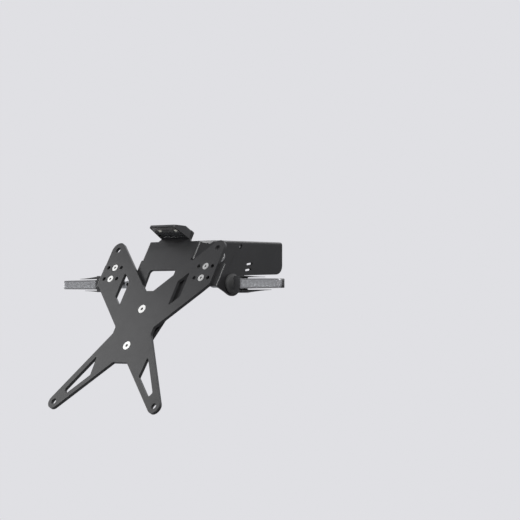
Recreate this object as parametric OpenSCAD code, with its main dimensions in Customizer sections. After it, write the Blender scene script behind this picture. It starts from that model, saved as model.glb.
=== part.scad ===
// Tail tidy for a sports motorcycle: an X-shaped number plate carrier on a folded bracket,
// bolted to a channel under the tail, with its plate lamp and two slim indicators.
// Origin: middle of the four mounting bolts, on the top face of the channel.
// +X is the motorcycle's right, +Y its front, +Z up.

/* [Number plate carrier] */
// Thickness of the carrier plate
plate_t = 3.5; // [2:0.5:4]
// Lean of the number plate from upright, its lower edge to the rear
plate_tilt = 30; // [26:1:34]
// Distance between the left and right number plate holes
licence_w = 150; // [140:1:160]
// Distance between the upper and lower number plate holes
licence_h = 186; // [180:1:196]
// Diameter of the number plate holes
licence_hole_d = 6.5; // [5:0.1:7]
// Radius of the upper arms' rounded tips round the number plate holes
tip_r = 9.2; // [8:0.1:11]
// Radius of the lower arms' rounded tips
low_tip_r = 7.9; // [7:0.1:9]
// Half width of the waist
waist_half = 28.5; // [24:0.5:32]
// Radius of the corners at the waist
waist_r = 3; // [1:0.5:5]
// Height of the waist's upper corner from the middle of the hole pattern
waist_top = -2.5; // [-6:0.5:0]
// Height of the waist's lower corner
waist_low = -10.5; // [-14:0.5:-8]
// Height of the lower end of the upper arm's outer edge
shoulder_y = 50; // [47:0.5:52]
// Radius of the corners at the shoulder
shoulder_r = 4; // [2:0.5:6]
// Size of the cut corner below the shoulder
shoulder_cut = 8.5; // [4:0.5:10]
// Half width of the flat bottom of the upper notch
notch_half = 6; // [4:0.5:10]
// Height of the bottom of the upper notch
notch_y = 41.3; // [38:0.1:44]
// Half width of the flat top of the lower notch
crotch_half = 10.3; // [7:0.1:12]
// Height of the top of the lower notch
crotch_y = -44.4; // [-50:0.1:-42]
// Distance of the upper cut-outs' inner side from the number plate holes
cut_from = 38.4; // [36:0.1:40]
// Width of the upper cut-outs
cut_w = 12.2; // [9:0.1:13]
// Rim above the upper cut-outs, measured upright
upper_rim = 17.1; // [15:0.1:20]
// Rim below the upper cut-outs, measured upright
lower_rim = 18.2; // [16:0.1:21]
// Radius of the corners of the cut-outs
cut_r = 1; // [0.5:0.1:1.5]
// Inner side of the lower cut-outs, from the middle
long_cut_in = 36.5; // [34:0.1:40]
// Outer end of the lower cut-outs, from the middle
long_cut_out = 66; // [58:0.1:66.5]
// Slant of the outer end of the lower cut-outs
long_cut_slope = 4; // [2:0.5:6]
// Rim outside the lower cut-outs, measured upright
outer_rim = 12.5; // [11:0.1:14]
// Rim inside the lower cut-outs, measured upright
inner_rim = 8; // [7:0.1:10]

/* [Screws] */
// Diameter of the two carrier screws
carrier_screw_d = 5; // [4:0.5:6]
// Height of the upper carrier screw
carrier_screw_y = 19.5; // [16:0.1:22]
// Distance between the carrier screws
carrier_screw_gap = 44; // [40:0.5:48]
// Diameter of the four arm screws
arm_screw_d = 4; // [3:0.5:4.5]
// Distance of the arm screws inside the number plate holes
arm_screw_in = 6.8; // [6:0.1:8]
// Height of the lower arm screws
arm_screw_y = 56.8; // [56:0.1:58]
// Distance between the two arm screws of one side
arm_screw_gap = 14; // [12:0.5:15]
// Sideways pitch of the spare holes beside the arm screws
spare_pitch = 9.8; // [8:0.1:10.5]
// Diameter of the four strap bolts
strap_bolt_d = 6; // [5:0.5:6]
// Diameter of the lamp's two studs
lamp_stud_d = 4; // [3:0.5:4]
// Clearance round a screw in a hole
hole_gap = 0.25; // [0.1:0.05:0.4]
// Clearance round a screw in its nut
thread_gap = 0.05; // [0.02:0.01:0.1]
// Length of thread standing out of a nut
thread_end = 1.5; // [0.5:0.5:3]

/* [Main bracket] */
// Thickness of the folded bracket's sheet
sheet_t = 3; // [2:0.5:3]
// Inner radius of the folds
fold_r = 0.4; // [0.4:0.1:1.5]
// Thickness of the spacers between carrier and bracket
spacer_t = 2.5; // [2.2:0.1:4]
// Diameter of the spacers
spacer_d = 12; // [11:0.5:14]
// Width over the two straps
strap_span = 77.2; // [74:0.2:80]
// Height of the bracket's shoulders, at the top of the straps' folds
fold_top = 105.9; // [104:0.1:107]
// Length of the straps' folds
fold_len = 21.5; // [20:0.5:24]
// Depth of the straps' forward ends
strap_end = 58; // [56:0.5:64]
// Rise of the straps from their folds to their forward ends
strap_rise = 21.3; // [19:0.1:24]
// Height where the face starts to narrow
face_taper_y = 31; // [26:1:36]
// Height of the bracket's lower end
face_end_y = -36; // [-38:1:-33]
// Half width of the bracket's lower end
face_end_half = 19; // [15:0.5:22]
// Width of the window's upper side
window_w = 39.5; // [34:0.5:42]
// Width of the window's lower side
window_low_w = 35.5; // [32:0.5:40]
// Height of the window's top
window_top = 71; // [68:0.1:74]
// Height of the window's bottom
window_low = 37; // [34:0.5:40]
// Radius of the window's corners
window_r = 3.5; // [2:0.5:5]
// Width of the neck that carries the lamp
neck_w = 42.6; // [40:0.2:46]
// Radius of the neck's corners
neck_r = 3; // [2:0.5:5]
// Height of the relief below the straps' folds
fold_relief = 1.5; // [1:0.1:2.5]
// Radius where the face starts to narrow
taper_r = 12; // [6:1:20]
// Radius of the corners of the bracket's lower end
end_r = 6; // [3:0.5:9]
// Radius of the corners of the straps' forward ends
strap_r = 3; // [1:0.5:5]

/* [Under-tail channel] */
// Length of the channel's top plate
base_l = 104; // [98:1:112]
// Depth of the channel's side walls
base_h = 37.5; // [36:0.5:42]
// Sideways distance between the mounting holes
mount_w = 40; // [34:1:44]
// Lengthways distance between the mounting holes
mount_l = 70; // [60:1:76]
// Diameter of the mounting holes
mount_d = 6.5; // [6:0.1:7]
// Diameter of the wiring hole in the top plate
wire_hole_d = 24; // [16:1:26]
// Distance of the pivot bolts behind the mounting pattern's middle
pivot_y = -66; // [-70:0.5:-64]
// Depth of the pivot bolts below the top face
pivot_z = -15.5; // [-17:0.5:-15]
// Height of the pivot bolts in the number plate's own frame
pivot_up = 101.3; // [100.5:0.1:102]
// Depth of the pivot bolts behind the number plate carrier's face
pivot_depth = 26; // [25:0.5:28]
// Distance between the pivot bolt and the clamp bolt
clamp_gap = 15; // [14:0.5:18]
// Swing of the tilt adjustment each way
tilt_swing = 8; // [4:1:10]
// Rise of the side walls' lower edge to the front
front_rise = 2; // [0:0.5:6]
// Radius of the side walls' lower front corners
front_r = 10; // [4:0.5:12]
// Radius of the side walls' upper front corners
front_top_r = 1; // [0.5:0.5:2]
// Radius of the side walls' upper rear corners
rear_r = 4; // [1:0.5:6]
// Radius of the channel's ends round the pivot bolts
pivot_r = 10; // [9:0.5:11]
// Length of the cable tie slots
tie_l = 9.6; // [7:0.1:12]
// Width of the cable tie slots
tie_w = 2.2; // [1.6:0.1:3]
// Height of the upper tie slots
tie_z = -24.7; // [-26:0.1:-22]
// Distance between the two tie slots of one wall
tie_gap = 6.5; // [5:0.1:8]
// Place of the tie slots along the channel
tie_y = -1; // [-4:0.5:6]
// Lean of the tie slots
tie_lean = 8; // [0:1:15]
// Width of the small eyes high in the side walls
eye_w = 3; // [2:0.5:4]
// Height of the eyes
eye_z = -6; // [-9:0.5:-6]
// Place of the eyes along the channel
eye_y = -15; // [-20:1:-8]
// Lean of the eyes
eye_lean = 60; // [30:5:80]

/* [Indicator brackets] */
// Thickness of the indicator brackets
angle_t = 2; // [1.5:0.5:2.5]
// Distance of the brackets' outer faces outside the number plate holes
angle_reach = 16; // [13:0.5:19]
// Reach of the brackets' face past the arm screws to the middle
angle_in = 9; // [6:0.5:11]
// Height of the lower edge at the fold
angle_low = 49; // [48:0.5:50]
// Height of the upper edge at the fold
angle_top = 76; // [75.5:0.5:78]
// Depth of the side leg's forward edge
angle_end = 36.5; // [35:0.5:40]
// Height of the side leg's upper forward corner
angle_crest = 80.5; // [78:0.5:82]
// Depth where the side leg reaches that height
crest_depth = 26; // [22:0.5:30]
// Radius of the side leg's upper corners
crest_r = 7; // [4:0.5:9]
// Radius of the side leg's lower forward corner, round the indicator's foot
lobe_r = 13; // [9:0.5:14]
// Height of the side leg's lower edge above the fold's lower end
foot_drop = 1.3; // [0.5:0.1:3]
// Height of the indicator's hole
stem_up = 62.5; // [61:0.5:63]
// Depth of the indicator's hole
stem_depth = 22; // [21:0.5:23]

/* [Indicators] */
// Diameter of the indicators' threaded stems
stem_d = 8; // [7:0.5:10]
// Length of the stem inside the bracket
stem_l = 25; // [18:0.5:30]
// Diameter of the rubber foot
foot_d = 20.5; // [17:0.5:21]
// Length of the rubber foot
foot_l = 9; // [7:0.5:11]
// Length of the indicator beyond its foot
lamp_bar_l = 62.5; // [56:0.5:70]
// Length of the indicator's root block
root_l = 9; // [7:0.5:11]
// Length of the tall part of that block, where the fins start
collar_l = 7.5; // [6:0.5:8.5]
// Height of the indicator's bar at its root
bar_h = 10.6; // [9.6:0.1:12]
// Height of the bar near its end
bar_end_h = 9.4; // [8.8:0.1:9.6]
// Radius of the bar's end
bar_end_r = 3.5; // [2.5:0.5:4]
// Depth of the bar from front to rear
bar_depth = 13; // [12:0.5:16]
// Depth of the clear lens
lens_depth = 5; // [4:0.5:6]
// Wall of the indicator's shells
bar_wall = 1.2; // [1:0.1:1.5]
// Reach of the long fin from the foot
long_fin_l = 42; // [30:1:50]
// Reach of the short fin from the foot
short_fin_l = 33; // [24:1:44]
// Gap between the fins and the bar
fin_gap = 1.1; // [1:0.1:1.6]
// Thickness of the long fin at its root
long_fin_t = 3.2; // [2:0.1:3.6]
// Thickness of the short fin at its root
short_fin_t = 1.7; // [1.4:0.1:2.2]
// Number of light chips in each indicator
bar_chips = 8; // [4:1:9]

/* [Number plate lamp] */
// Width of the lamp at the bracket
lamp_w = 42.4; // [38:0.2:46]
// Width of the lamp at its rear lip
lamp_lip_w = 37.4; // [34:0.2:38]
// Reach of the lamp from the bracket's face
lamp_l = 25; // [22:0.5:28]
// Height of the lamp and of the neck behind it
lamp_h = 10.6; // [10:0.1:12]
// Height of the lamp's rear lip
lip_h = 2.4; // [2:0.1:3]
// Height of the lamp's underside
lamp_low = 109; // [108.5:0.1:109.5]
// Wall of the lamp's housing
lamp_wall = 1.6; // [1.2:0.1:2]
// Share of the lamp's reach where its top is flat
lamp_flat = 0.34; // [0.2:0.02:0.5]
// Radius of the lamp's edges
lamp_edge_r = 3; // [2:0.5:4]
// Draft of the lamp's ends, from its underside to its top
lamp_draft = 1.2; // [0.5:0.1:2]
// Distance between the lamp's studs
lamp_stud_gap = 20; // [16:0.5:22]
// Number of light chips in the lamp
lamp_chips = 2; // [2:1:4]
// Distance between the lamp's outermost light chips
lamp_chip_span = 23.6; // [18:0.2:26]
// Distance of the light chips behind the lamp's front wall
lamp_chip_depth = 11.5; // [6:0.5:13]

/* [Hidden] */

$fn = 48;
corner_steps = 5;
tip_steps = 12;
fin_steps = 4;
through = 1;

black_sheet = [0.2, 0.2, 0.21];
black_plastic = [0.1, 0.1, 0.11];
black_rubber = [0.07, 0.07, 0.07];
stainless = [0.8, 0.8, 0.82];
zinc = [0.66, 0.67, 0.68];
clear_lens = [0.82, 0.84, 0.86];
smoked_lens = [0.4, 0.42, 0.44];
board_green = [0.1, 0.35, 0.2];
chip_yellow = [0.95, 0.85, 0.4];

// Fasteners
washer_t = 1.2;
thin_washer_t = 0.8;
stem_washer_t = 1.6;
recess_w = 0.6;
recess_depth = 0.42;

// Depths in the number plate's frame, below its front face
face_front = plate_t + spacer_t;
face_back = face_front + sheet_t;
arm_back = plate_t + angle_t;
fold_out = fold_r + sheet_t;
angle_out = fold_r + angle_t;
strap_half = strap_span / 2;
wall_half = strap_half - sheet_t;
plate_y = pivot_y - pivot_up * sin(plate_tilt) - pivot_depth * cos(plate_tilt);
plate_z = pivot_z - pivot_up * cos(plate_tilt) + pivot_depth * sin(plate_tilt);

// Strap direction and the clamp bolt's place along it
strap_lean = atan2(strap_rise, strap_end - face_back);
clamp_up = pivot_up + clamp_gap * sin(strap_lean);
clamp_depth = pivot_depth + clamp_gap * cos(strap_lean);

// Number plate lamp
lamp_mid = lamp_low + 0.52 * lamp_h;
neck_top = lamp_low + lamp_h;
stud_root = 3;
lens_t = 1.2;
lens_gap = 0.1;
lens_wall = 1.3;
board_t = 1;
board_rise = 1.6;
board_edge = 3;
chip_w = 2.8;
chip_h = 0.8;
inner_front = stud_root - face_front;

// Indicators: x from the bracket's outer face, y forward from the stem
bar_front = 0.54 * bar_depth;
bar_rear = bar_front - bar_depth;
split_y = bar_rear + lens_depth;
bar_end = foot_l + lamp_bar_l;
root_end = foot_l + root_l;
board_from = root_end + board_edge;
board_to = bar_end - 3 * board_edge;
board_y = bar_front - bar_wall - board_t;
bar_pitch = (board_to - board_from) / bar_chips;

// The indicator's place in the part's frame
angle_x = licence_w / 2 + angle_reach;
stem_y = plate_y + stem_up * sin(plate_tilt) + stem_depth * cos(plate_tilt);
stem_z = plate_z + stem_up * cos(plate_tilt) - stem_depth * sin(plate_tilt);

// Points of the carrier's outline
arm_screw_x = licence_w / 2 - arm_screw_in;
cut_in = licence_w / 2 - cut_from;
upper_hole = [licence_w / 2, licence_h / 2];
lower_hole = [licence_w / 2, -licence_h / 2];
edge_x = licence_w / 2 + tip_r;
notch = [notch_half, notch_y];
crotch = [crotch_half, crotch_y];
waist_a = [waist_half, waist_top];
waist_b = [waist_half, waist_low];
shoulder_low = [edge_x - shoulder_cut, shoulder_y - shoulder_cut];
tip_inner = tangent_from(notch, upper_hole, tip_r, 1);
low_outer = tangent_from(waist_b, lower_hole, low_tip_r, 1);
low_inner = tangent_from(crotch, lower_hole, low_tip_r, -1);

function unit(v) = v / norm(v);
function cross2(p, q) = p[0] * q[1] - p[1] * q[0];
function turned(v, a) = [v[0] * cos(a) - v[1] * sin(a), v[0] * sin(a) + v[1] * cos(a)];
function flipped(points) = [for (i = [len(points) - 1:-1:0]) [-points[i][0], points[i][1]]];
function along(p, q, x) = p[1] + (q[1] - p[1]) * (x - p[0]) / (q[0] - p[0]);
function arc(centre, r, from, to, steps) =
    [for (i = [0:steps]) let (a = from + (to - from) * i / steps) centre + r * [cos(a), sin(a)]];
// Where a line from p touches the circle of radius r round c
function tangent_from(p, c, r, side) =
    let (d = c - p, l = norm(d), a = atan2(d[1], d[0]) + side * asin(r / l))
    p + sqrt(l * l - r * r) * [cos(a), sin(a)];
// One corner of an outline, rounded
function corner(a, b, c, r) =
    r <= 0 ? [b] :
    let (u = unit(a - b), w = unit(c - b), half = acos(u * w) / 2)
    let (centre = b + unit(u + w) * r / sin(half), reach = r / tan(half))
    let (s = b + u * reach - centre, e = b + w * reach - centre, sweep = atan2(cross2(s, e), s * e))
    [for (i = [0:corner_steps]) centre + turned(s, sweep * i / corner_steps)];
// An outline of [x, y, radius] points with each corner rounded
function rounded(p) = let (n = len(p)) [for (i = [0:n - 1])
    for (q = corner(flat(p[(i + n - 1) % n]), flat(p[i]), flat(p[(i + 1) % n]), p[i][2])) q];
function flat(p) = [p[0], p[1]];
function mirrored(p) = concat(p, [for (i = [len(p) - 1:-1:0]) [-p[i][0], p[i][1], p[i][2]]]);
function tip_angle(p, c) = atan2(p[1] - c[1], p[0] - c[0]);
// Sizes that go with a thread: across a nut's flats, a nut's height and a washer's diameter
function nut_flats(d) = 1.5 * d + 1;
function nut_h(d) = 0.8 * d;
function screw_l(sheets, d) = sheets + nut_h(d) + thread_end;
function washer_d(d) = max(2 * d, 9);

// Frames

// X to the right, Y up the number plate, Z out of its face to the rear
module on_plate() {
    translate([0, plate_y, plate_z]) rotate([90 - plate_tilt, 0, 0]) children();
}

// Extrudes an outline drawn in (depth, height) across the part, from x = from to x = to
module across(from, to) {
    translate([from, 0, 0]) rotate([0, 90, 0]) linear_extrude(height = to - from) children();
}

module both_sides() {
    children();
    mirror([1, 0, 0]) children();
}

// Fasteners, along Z with the head at the top

module hex_recess(across_flats, depth) {
    translate([0, 0, -depth]) cylinder(d = across_flats / cos(30), h = depth + through, $fn = 6);
}

module countersunk_screw(d, length) {
    head_h = d / 2;
    difference() {
        union() {
            translate([0, 0, -head_h]) cylinder(d1 = d, d2 = 2 * d, h = head_h);
            translate([0, 0, -length]) cylinder(d = d, h = length - head_h / 2);
        }
        hex_recess(recess_w * d, recess_depth * d);
    }
}

module countersink(d) {
    depth = d / 2 + hole_gap;
    translate([0, 0, -depth]) cylinder(d1 = d, d2 = d + 2 * (depth + through), h = depth + through);
}

module button_bolt(d, length) {
    head_r = 0.875 * d;
    head_h = 0.55 * d;
    edge = 0.2 * d;
    dome = [for (a = [15:15:75]) [head_r * cos(a), edge + (head_h - edge) * sin(a)]];
    difference() {
        union() {
            rotate_extrude() polygon(concat([[0, 0], [head_r, 0], [head_r, edge]], dome, [[0, head_h]]));
            translate([0, 0, -length]) cylinder(d = d, h = length + edge);
        }
        translate([0, 0, head_h]) hex_recess(recess_w * d, 0.35 * d);
    }
}

module washer(d, t) {
    difference() {
        cylinder(d = washer_d(d), h = t);
        translate([0, 0, -through]) cylinder(d = d + 2 * hole_gap, h = t + 2 * through);
    }
}

module nut(d) {
    flats = nut_flats(d);
    t = nut_h(d);
    difference() {
        intersection() {
            cylinder(d = flats / cos(30), h = t, $fn = 6);
            cylinder(d1 = flats + hole_gap, d2 = flats + hole_gap + 2 * t, h = t);
            cylinder(d1 = flats + hole_gap + 2 * t, d2 = flats + hole_gap, h = t);
        }
        translate([0, 0, -through]) cylinder(d = d + 2 * thread_gap, h = t + 2 * through);
    }
}

// Number plate carrier

module carrier_outline() {
    outer = [edge_x, shoulder_y];
    half = concat(
        [notch],
        arc(upper_hole, tip_r, tip_angle(tip_inner, upper_hole), 0, tip_steps),
        corner(upper_hole + [tip_r, 0], outer, shoulder_low, shoulder_r),
        corner(outer, shoulder_low, waist_a, shoulder_r),
        corner(shoulder_low, waist_a, waist_b, waist_r),
        corner(waist_a, waist_b, low_outer, waist_r),
        arc(lower_hole, low_tip_r, tip_angle(low_outer, lower_hole), tip_angle(low_inner, lower_hole),
            tip_steps),
        [crotch]);
    polygon(concat(half, flipped(half)));
}

module upper_cutout() {
    cut_out = cut_in + cut_w;
    polygon(rounded([
        [cut_in, along(notch, tip_inner, cut_in) - upper_rim, cut_r],
        [cut_out, along(notch, tip_inner, cut_out) - upper_rim, cut_r],
        [cut_out, along(waist_a, shoulder_low, cut_out) + lower_rim, cut_r],
        [cut_in, along(waist_a, shoulder_low, cut_in) + lower_rim, cut_r]]));
}

module lower_cutout() {
    top = long_cut_in + 1.5 * cut_r;
    end = long_cut_out - long_cut_slope;
    polygon(rounded([
        [top, along(waist_b, low_outer, top) - outer_rim, cut_r],
        [long_cut_out, along(waist_b, low_outer, long_cut_out) - outer_rim, 2.5 * cut_r],
        [end, along(crotch, low_inner, end) + inner_rim, 2.5 * cut_r],
        [long_cut_in, along(crotch, low_inner, long_cut_in) + inner_rim, cut_r]]));
}

module arm_holes() {
    for (row = [0, 1])
        for (column = [-1:1])
            translate([arm_screw_x + column * spare_pitch, arm_screw_y + row * arm_screw_gap, 0]) children();
}

module carrier_screw_places() {
    for (i = [0, 1]) translate([0, carrier_screw_y - i * carrier_screw_gap, 0]) children();
}

module arm_screw_places() {
    both_sides() for (row = [0, 1])
        translate([arm_screw_x, arm_screw_y + row * arm_screw_gap, 0]) children();
}

module plate_hole(d) {
    translate([0, 0, -plate_t - through]) cylinder(d = d, h = plate_t + 2 * through);
}

module plate_carrier() {
    color(black_sheet) on_plate() difference() {
        translate([0, 0, -plate_t]) linear_extrude(height = plate_t) difference() {
            carrier_outline();
            both_sides() upper_cutout();
            both_sides() lower_cutout();
        }
        both_sides() {
            translate(upper_hole) plate_hole(licence_hole_d);
            translate(lower_hole) plate_hole(licence_hole_d);
            arm_holes() plate_hole(arm_screw_d + 2 * hole_gap);
        }
        arm_screw_places() countersink(arm_screw_d);
        carrier_screw_places() {
            plate_hole(carrier_screw_d + 2 * hole_gap);
            countersink(carrier_screw_d);
        }
    }
}

module carrier_screws() {
    length = screw_l(face_back + washer_t, carrier_screw_d);
    color(stainless) on_plate() carrier_screw_places() countersunk_screw(carrier_screw_d, length);
}

module carrier_spacers() {
    color(zinc) on_plate() carrier_screw_places() translate([0, 0, -face_front]) difference() {
        cylinder(d = spacer_d, h = spacer_t);
        translate([0, 0, -through]) cylinder(d = carrier_screw_d + 2 * hole_gap, h = spacer_t + 2 * through);
    }
}

module carrier_washers() {
    color(zinc) on_plate() carrier_screw_places() translate([0, 0, -face_back - washer_t])
        washer(carrier_screw_d, washer_t);
}

module carrier_nuts() {
    depth = face_back + washer_t + nut_h(carrier_screw_d);
    color(zinc) on_plate() carrier_screw_places() translate([0, 0, -depth]) nut(carrier_screw_d);
}

// Main bracket

module face_outline() {
    fold_low = fold_top - fold_len - fold_relief;
    inner = strap_half - fold_out;
    neck_half = neck_w / 2;
    polygon(rounded(mirrored([
        [neck_half, neck_top, neck_r],
        [neck_half, fold_top + neck_r, neck_r],
        [neck_half + neck_r, fold_top, 0],
        [inner, fold_top, 0],
        [inner, fold_low, 0],
        [strap_half, fold_low, fold_relief],
        [strap_half, face_taper_y, taper_r],
        [face_end_half, face_end_y, end_r]])));
}

module window_outline() {
    polygon(rounded(mirrored([
        [window_w / 2, window_top, window_r],
        [window_low_w / 2, window_low, window_r]])));
}

// Section of the bracket across its folds: x across, y for depth
module bracket_section() {
    half = concat(
        arc([strap_half - fold_out, -face_front - fold_out], fold_out, 90, 0, corner_steps),
        [[strap_half, -strap_end - through], [wall_half, -strap_end - through]],
        arc([wall_half - fold_r, -face_back - fold_r], fold_r, 0, 90, corner_steps));
    polygon(concat(half, flipped(half)));
}

// Strap seen from the side: x for depth, y for height
module strap_outline() {
    low = fold_top - fold_len;
    polygon(rounded([
        [face_front - through, fold_top, 0],
        [face_back, fold_top, 0],
        [strap_end, fold_top + strap_rise, strap_r],
        [strap_end - through, low + strap_rise, strap_r],
        [face_back, low, 0],
        [face_front - through, low, 0]]));
}

module strap_bolt_places() {
    for (p = [[pivot_depth, pivot_up], [clamp_depth, clamp_up]]) translate([0, p[1], -p[0]]) children();
}

module bore_across(d, half) {
    translate([-half, 0, 0]) rotate([0, 90, 0]) cylinder(d = d, h = 2 * half);
}

module main_bracket() {
    tall = fold_top + strap_rise + through;
    hole_t = sheet_t + 2 * through;
    color(black_sheet) on_plate() difference() {
        union() {
            translate([0, 0, -face_back]) linear_extrude(height = sheet_t) face_outline();
            intersection() {
                translate([0, tall, 0]) rotate([90, 0, 0]) linear_extrude(height = tall) bracket_section();
                across(-strap_half - through, strap_half + through) strap_outline();
            }
        }
        translate([0, 0, -face_back - through]) {
            linear_extrude(height = hole_t) window_outline();
            carrier_screw_places() cylinder(d = carrier_screw_d + 2 * hole_gap, h = hole_t);
            lamp_stud_places() cylinder(d = lamp_stud_d + 2 * hole_gap, h = hole_t);
        }
        strap_bolt_places() bore_across(strap_bolt_d + 2 * hole_gap, strap_half + through);
    }
}

// Under-tail channel

module base_section() {
    bend = [wall_half - fold_out, -fold_out];
    half = concat(
        arc(bend, fold_out, 90, 0, corner_steps),
        [[wall_half, -base_h - through], [wall_half - sheet_t, -base_h - through]],
        arc(bend, fold_r, 0, 90, corner_steps));
    polygon(concat(half, flipped(half)));
}

// Side wall seen from the right: x for height, y for length
module wall_outline() {
    pivot = [pivot_y, pivot_z];
    rear = [-base_l / 2 - through, 0];
    front = [base_l / 2, 0];
    front_low = [base_l / 2, -base_h + front_rise];
    low = [-base_l / 5, -base_h];
    top_touch = tangent_from(rear, pivot, pivot_r, -1);
    low_touch = tangent_from(low, pivot, pivot_r, 1);
    polygon(concat(
        corner(top_touch, rear, [0, 0], rear_r),
        corner([0, 0], front, front_low, front_top_r),
        corner(front, front_low, low, front_r),
        corner(front_low, low, low_touch, front_r),
        arc(pivot, pivot_r, tip_angle(low_touch, pivot), tip_angle(top_touch, pivot) - 360, tip_steps)));
}

module slot(length, width, height) {
    for (end = [-1, 1]) translate([end * (length - width) / 2, 0, 0]) cylinder(d = width, h = height);
    translate([-(length - width) / 2, -width / 2, 0]) cube([length - width, width, height]);
}

// Turns Z to -X and X to +Y, to cut the side walls
module in_wall(y, z, lean = 0) {
    translate([-wall_half - through, y, z]) rotate([lean, 0, 0]) rotate([90, 0, 90]) children();
}

module base_bracket() {
    reach = 2 * (wall_half + through);
    long = base_l / 2 - pivot_y + pivot_r + through;
    color(black_sheet) difference() {
        intersection() {
            translate([0, base_l / 2, 0]) rotate([90, 0, 0])
                linear_extrude(height = long) base_section();
            translate([-wall_half - through, 0, 0]) rotate([90, 0, 90])
                linear_extrude(height = reach) wall_outline();
        }
        translate([0, 0, -sheet_t - through]) {
            mount_places() cylinder(d = mount_d, h = sheet_t + 2 * through);
            cylinder(d = wire_hole_d, h = sheet_t + 2 * through);
        }
        in_wall(tie_y, tie_z, tie_lean) slot(tie_l, tie_w, reach);
        in_wall(tie_y - tie_w, tie_z - tie_gap, tie_lean) slot(tie_l, tie_w, reach);
        in_wall(eye_y, eye_z, eye_lean) slot(2 * eye_w, eye_w, reach);
        in_wall(pivot_y, pivot_z) cylinder(d = strap_bolt_d + 2 * hole_gap, h = reach);
        in_wall(pivot_y, pivot_z) clamp_slot(reach);
    }
}

module mount_places() {
    for (side = [-1, 1])
        for (end = [-1, 1]) translate([side * mount_w / 2, end * mount_l / 2, 0]) children();
}

// Curved slot round the pivot, so that the number plate's lean can be set
module clamp_slot(height) {
    level = strap_lean - plate_tilt;
    high = level + tilt_swing;
    low = level - tilt_swing;
    half = strap_bolt_d / 2 + hole_gap;
    linear_extrude(height = height) polygon(concat(
        arc([0, 0], clamp_gap + half, low, high, tip_steps),
        arc(clamp_gap * [cos(high), sin(high)], half, high, high + 180, tip_steps),
        arc([0, 0], clamp_gap - half, high, low, tip_steps),
        arc(clamp_gap * [cos(low), sin(low)], half, low - 180, low, tip_steps)));
}

module strap_bolts() {
    length = screw_l(2 * (washer_t + sheet_t), strap_bolt_d);
    color(stainless) on_plate() both_sides() strap_bolt_places() translate([strap_half + washer_t, 0, 0])
        rotate([0, 90, 0]) button_bolt(strap_bolt_d, length);
}

module strap_washers() {
    inside = wall_half - sheet_t - washer_t;
    color(zinc) on_plate() both_sides() strap_bolt_places() for (x = [strap_half, inside])
        translate([x, 0, 0]) rotate([0, 90, 0]) washer(strap_bolt_d, washer_t);
}

module strap_nuts() {
    inside = wall_half - sheet_t - washer_t - nut_h(strap_bolt_d);
    color(zinc) on_plate() both_sides() strap_bolt_places()
        translate([inside, 0, 0]) rotate([0, 90, 0]) nut(strap_bolt_d);
}

// Indicator brackets

module angle_section() {
    inner = arm_screw_x - angle_in;
    bend = [angle_x - angle_out, -plate_t - angle_out];
    polygon(concat(
        [[inner, -plate_t]],
        arc(bend, angle_out, 90, 0, corner_steps),
        [[angle_x, -angle_end - through], [angle_x - angle_t, -angle_end - through]],
        arc(bend, fold_r, 0, 90, corner_steps),
        [[inner, -plate_t - angle_t]]));
}

// Side leg seen from the side: x for depth, y for height
module angle_outline() {
    polygon(rounded([
        [plate_t - through, angle_low, 0],
        [plate_t - through, angle_top, 0],
        [plate_t + angle_out, angle_top, crest_r],
        [crest_depth, angle_crest, crest_r],
        [angle_end, angle_crest, crest_r / 2],
        [angle_end, angle_low + foot_drop, lobe_r],
        [stem_depth - crest_r / 2, angle_low + foot_drop, crest_r]]));
}

module indicator_angle() {
    screw_hole = arm_screw_d + 2 * hole_gap;
    color(black_sheet) on_plate() difference() {
        intersection() {
            translate([0, angle_crest + through, 0]) rotate([90, 0, 0])
                linear_extrude(height = angle_crest - angle_low + 2 * through) angle_section();
            across(arm_screw_x - angle_in - through, angle_x + through) angle_outline();
        }
        for (row = [0, 1])
            translate([arm_screw_x, arm_screw_y + row * arm_screw_gap, -arm_back - through])
                cylinder(d = screw_hole, h = angle_t + 2 * through);
        translate([angle_x - angle_t - through, stem_up, -stem_depth]) rotate([0, 90, 0])
            cylinder(d = stem_d + 2 * hole_gap, h = angle_t + 2 * through);
    }
}

module right_indicator_bracket() {
    indicator_angle();
}

module left_indicator_bracket() {
    mirror([1, 0, 0]) indicator_angle();
}

module arm_screws() {
    length = screw_l(arm_back + thin_washer_t, arm_screw_d);
    color(stainless) on_plate() arm_screw_places() countersunk_screw(arm_screw_d, length);
}

module arm_washers() {
    color(zinc) on_plate() arm_screw_places() translate([0, 0, -arm_back - thin_washer_t])
        washer(arm_screw_d, thin_washer_t);
}

module arm_nuts() {
    depth = arm_back + thin_washer_t + nut_h(arm_screw_d);
    color(zinc) on_plate() arm_screw_places() translate([0, 0, -depth]) nut(arm_screw_d);
}

// Number plate lamp, seated on the neck's face with its lens below

module lamp_stud_places() {
    for (side = [-1, 1]) translate([side * lamp_stud_gap / 2, lamp_mid, 0]) children();
}

// Outer form of the lamp, made smaller all round by inset
module lamp_form(inset) {
    front = -face_front + inset;
    rear = lamp_l - face_front - inset;
    top = lamp_low + lamp_h - inset;
    lip = lamp_low + lip_h - inset * lip_h / lamp_h;
    half = lamp_w / 2 - inset;
    lip_half = lamp_lip_w / 2 - inset;
    intersection() {
        rotate([0, -90, 0]) translate([0, 0, -half]) linear_extrude(height = 2 * half) polygon(rounded([
            [front, lamp_low, 0],
            [front, top, lamp_edge_r / 3],
            [front + lamp_flat * lamp_l, top, 3 * lamp_edge_r],
            [rear, lip, lamp_edge_r / 5],
            [rear, lamp_low, 0]]));
        translate([0, lamp_low + lamp_h, 0]) rotate([90, 0, 0]) linear_extrude(height = lamp_h)
            polygon(rounded(mirrored([[half, front, 0], [lip_half, rear, lamp_edge_r]])));
        translate([0, 0, front]) linear_extrude(height = rear - front)
            polygon(rounded(mirrored([[half, lamp_low, 0], [half - lamp_draft, top, lamp_edge_r]])));
    }
}

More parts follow.
